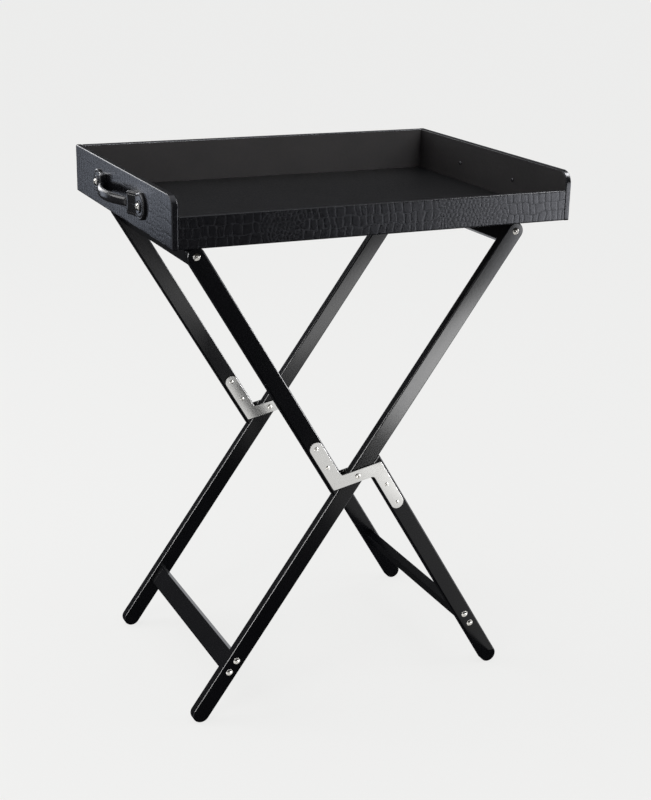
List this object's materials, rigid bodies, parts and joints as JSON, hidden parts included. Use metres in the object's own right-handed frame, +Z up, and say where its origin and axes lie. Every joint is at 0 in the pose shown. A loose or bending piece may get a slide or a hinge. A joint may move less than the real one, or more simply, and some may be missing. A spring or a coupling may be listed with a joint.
{
  "type": "folding tray table",
  "caption": "Folding tray table: a leather-covered tray with strap handles lifts off a black X-frame stand, which folds flat on riveted steel plates.",
  "frame": {"origin": "on the floor under the middle of the tray", "axes": "+Z up, +X along the tray's long side to the right, +Y from the low front lip towards the back wall"},
  "size_m": [0.654, 0.446, 0.793],
  "materials": {
    "tray_leather": "black reptile-grain leather, satin",
    "lining_leather": "smooth black leather, matte",
    "handle_leather": "smooth black leather, polished",
    "tray_board": "fibreboard, black stain, matte",
    "black_lacquer": "hardwood in black satin lacquer",
    "plate_nickel": "polished nickel-plated steel",
    "nickel": "nickel-plated steel",
    "brass": "turned, plain"
  },
  "bodies": {
    "straight_frame": {"front_straight_leg": "black_lacquer", "rear_straight_leg": "black_lacquer", "left_stretcher": "black_lacquer", "right_top_rail": "black_lacquer", "front_pivot_bush": "brass", "rear_pivot_bush": "brass", "left_stretcher_screws": "nickel", "right_rail_screws": "nickel"},
    "half_leg_frame": {"front_upper_leg": "black_lacquer", "front_lower_leg": "black_lacquer", "rear_upper_leg": "black_lacquer", "rear_lower_leg": "black_lacquer", "front_outer_plate": "plate_nickel", "front_inner_plate": "plate_nickel", "rear_outer_plate": "plate_nickel", "rear_inner_plate": "plate_nickel", "front_plate_screws": "nickel", "rear_plate_screws": "nickel", "front_pivot_rivet": "nickel", "rear_pivot_rivet": "nickel", "right_stretcher": "black_lacquer", "left_top_rail": "black_lacquer", "right_stretcher_screws": "nickel", "left_rail_screws": "nickel"},
    "tray": {"tray_base": "tray_board", "tray_liner": "lining_leather", "back_wall": "tray_leather", "left_wall": "tray_leather", "right_wall": "tray_leather", "front_lip": "tray_leather", "left_handle_grip": "handle_leather", "right_handle_grip": "handle_leather", "left_handle_tabs": "handle_leather", "right_handle_tabs": "handle_leather", "left_handle_washers": "nickel", "right_handle_washers": "nickel", "left_handle_screws": "nickel", "right_handle_screws": "nickel", "left_handle_bolts": "nickel", "right_handle_bolts": "nickel"}
  },
  "joints": [
    {"name": "stand_fold", "type": "hinge", "parent": "straight_frame", "child": "half_leg_frame", "pos_m": [-0.0042, 0, 0.35514], "axis": [0, 1, 0], "range_deg": [0, 66.5]},
    {"name": "tray_lift", "type": "slide", "parent": "straight_frame", "child": "tray", "axis": [0, 0, 1], "range_m": [0, 0.35]}
  ],
  "couplings": [
    {"joint": "tray_lift", "follows": "stand_fold", "m_per_rad": 0.3}
  ]
}
